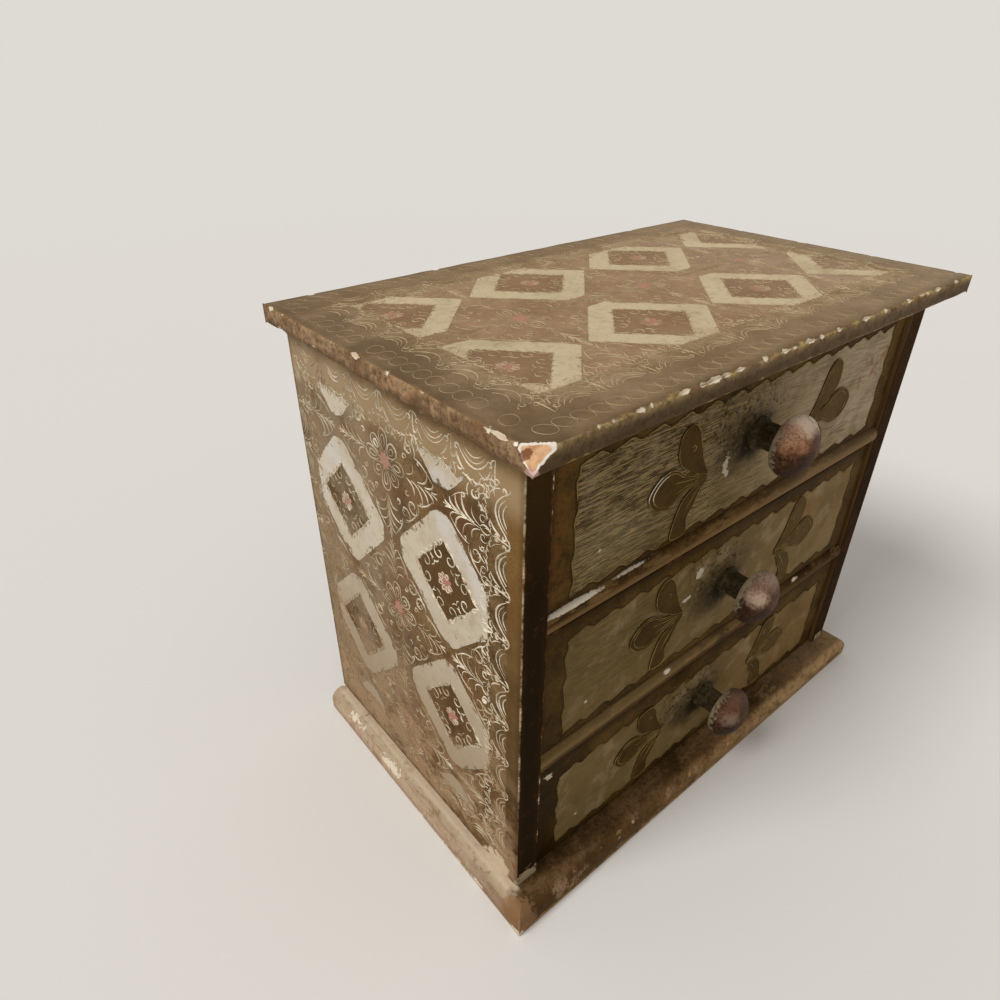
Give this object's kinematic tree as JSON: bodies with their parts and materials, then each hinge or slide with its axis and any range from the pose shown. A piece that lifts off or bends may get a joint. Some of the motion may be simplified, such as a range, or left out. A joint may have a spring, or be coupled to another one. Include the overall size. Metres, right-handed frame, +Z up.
{
  "type": "jewellery drawer chest",
  "caption": "Small free-standing gilded wooden jewellery chest with a stack of full-width sliding drawers, each with a turned knob and a cloth-lined inside.",
  "frame": {"origin": "under the middle of the outer box, on the surface that the chest stands on", "axes": "+X to the chest's right as seen from the front, along its width; +Y from the drawer fronts to the back; +Z up"},
  "size_m": [0.19, 0.1234, 0.1665],
  "materials": {
    "gilded_wood": "gesso and dull gilding over red-brown bole, worn to cream gesso on the arrises",
    "painted_gilded_wood": "dull gilding with cream painted lozenge frames and raised gesso scrollwork",
    "drawer_front_paint": "cream paint with a gilded scalloped border, rubbed and grimy",
    "back_board_wood": "thin board, brown stained",
    "drawer_box_wood": "bare pale wood",
    "lining_cloth": "short-napped felt",
    "knob_wood": "turned wood, gilding rubbed down to red bole",
    "steel_fixings": "dull steel"
  },
  "bodies": {
    "case": {"base_board": "gilded_wood", "top_board": "gilded_wood", "left_side_panel": "painted_gilded_wood", "right_side_panel": "painted_gilded_wood", "lower_divider": "gilded_wood", "upper_divider": "gilded_wood", "back_panel": "back_board_wood", "base_nails": "steel_fixings", "back_panel_brads": "steel_fixings"},
    "bottom_drawer": {"bottom_drawer_front": "drawer_front_paint", "bottom_drawer_left_side": "drawer_box_wood", "bottom_drawer_right_side": "drawer_box_wood", "bottom_drawer_back": "drawer_box_wood", "bottom_drawer_bottom": "drawer_box_wood", "bottom_drawer_lining": "lining_cloth", "bottom_drawer_pins": "steel_fixings", "bottom_drawer_knob": "knob_wood", "bottom_drawer_knob_screw": "steel_fixings"},
    "middle_drawer": {"middle_drawer_front": "drawer_front_paint", "middle_drawer_left_side": "drawer_box_wood", "middle_drawer_right_side": "drawer_box_wood", "middle_drawer_back": "drawer_box_wood", "middle_drawer_bottom": "drawer_box_wood", "middle_drawer_lining": "lining_cloth", "middle_drawer_pins": "steel_fixings", "middle_drawer_knob": "knob_wood", "middle_drawer_knob_screw": "steel_fixings"},
    "top_drawer": {"top_drawer_front": "drawer_front_paint", "top_drawer_left_side": "drawer_box_wood", "top_drawer_right_side": "drawer_box_wood", "top_drawer_back": "drawer_box_wood", "top_drawer_bottom": "drawer_box_wood", "top_drawer_lining": "lining_cloth", "top_drawer_pins": "steel_fixings", "top_drawer_knob": "knob_wood", "top_drawer_knob_screw": "steel_fixings"}
  },
  "joints": [
    {"name": "bottom_drawer_slide", "type": "slide", "parent": "case", "child": "bottom_drawer", "axis": [0, -1, 0], "range_m": [0, 0.08]},
    {"name": "middle_drawer_slide", "type": "slide", "parent": "case", "child": "middle_drawer", "axis": [0, -1, 0], "range_m": [0, 0.08]},
    {"name": "top_drawer_slide", "type": "slide", "parent": "case", "child": "top_drawer", "axis": [0, -1, 0], "range_m": [0, 0.08]}
  ]
}
